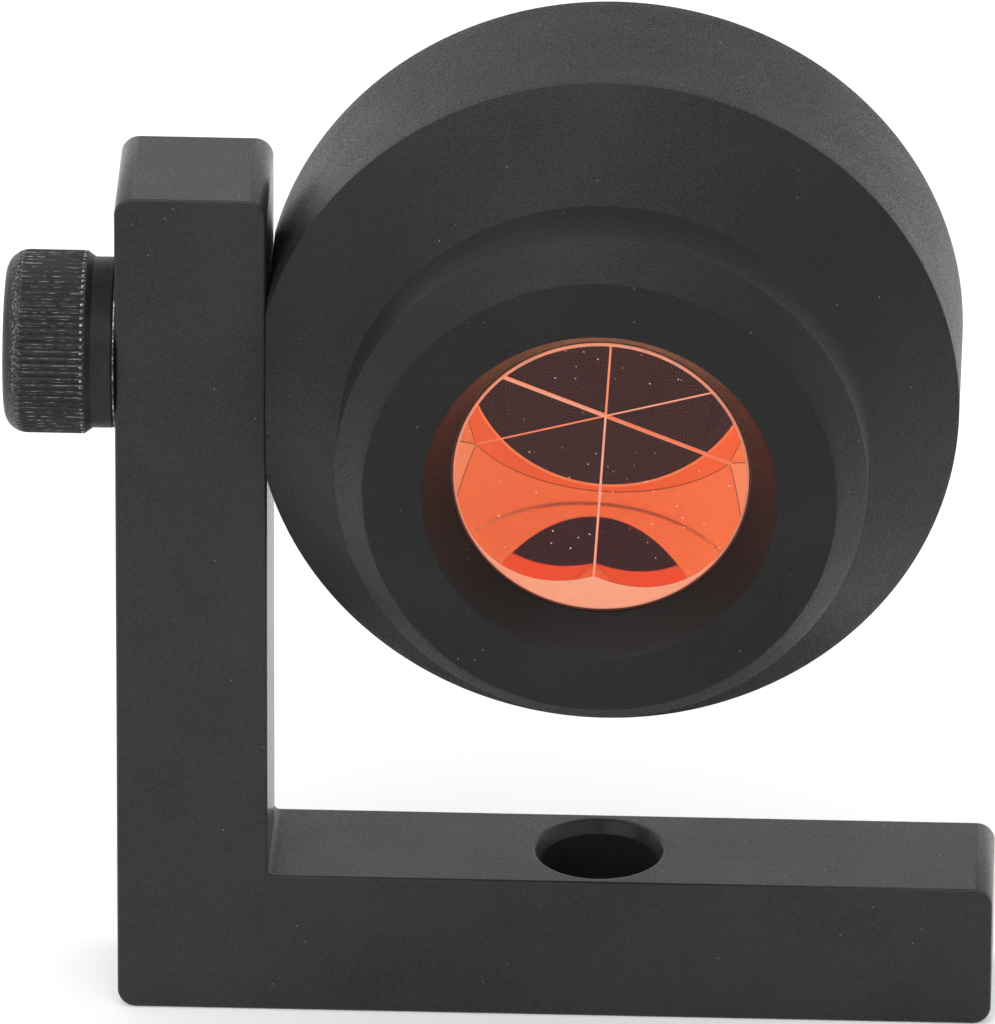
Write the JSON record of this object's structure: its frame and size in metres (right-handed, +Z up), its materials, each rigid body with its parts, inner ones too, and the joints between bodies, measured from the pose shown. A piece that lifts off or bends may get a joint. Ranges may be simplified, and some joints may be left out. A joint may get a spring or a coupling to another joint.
{
  "type": "l-bar surveying prism",
  "caption": "Corner-cube surveying prism in a round tilting head, clamped by a knurled screw to an L-shaped bar with a mounting hole in its foot.",
  "frame": {"origin": "on the mounting hole's axis, in the plane of the bar's base", "axes": "+Z up along the mounting hole and the upright; +X along the foot, away from the clamp screw and along the tilt axis; the prism looks along -Y"},
  "size_m": [0.0851, 0.0361, 0.0907],
  "materials": {
    "anodised_bar": "bead-blasted, black anodised",
    "anodised_head": "bead-blasted, black anodised",
    "black_steel": "black oxide, worn bright on the knurl",
    "bright_steel": "plain steel",
    "acetal": "turned acetal",
    "prism_glass": "polished front, frosted rim",
    "copper_coat": "copper behind glass, lacquered at the back",
    "sealant": "clear silicone, tinted by the copper",
    "black_rubber": "moulded"
  },
  "bodies": {
    "bar": {"l_bar": "anodised_bar"},
    "head": {"prism_housing": "anodised_head", "prism_glass": "prism_glass", "mirror_coat": "copper_coat", "glass_sealant": "sealant", "cushion_ring": "black_rubber", "rear_cover": "anodised_head", "cover_seal": "black_rubber", "friction_washer": "acetal", "thread_insert": "bright_steel"},
    "washer": {"thrust_washer": "bright_steel"},
    "screw": {"clamp_screw": "black_steel"}
  },
  "joints": [
    {"name": "head_tilt", "type": "hinge", "parent": "bar", "child": "head", "pos_m": [0.0007, 0, 0.0607], "axis": [1, 0, 0], "continuous": true},
    {"name": "clamp_travel", "type": "slide", "parent": "head", "child": "washer", "axis": [-1, 0, 0], "range_m": [0, 0.00125]},
    {"name": "clamp_turn", "type": "hinge", "parent": "washer", "child": "screw", "pos_m": [-0.0414, 0, 0.0607], "axis": [-1, 0, 0], "range_deg": [0, 360]}
  ],
  "couplings": [
    {"joint": "clamp_turn", "follows": "clamp_travel", "rad_per_m": 5026.5}
  ]
}
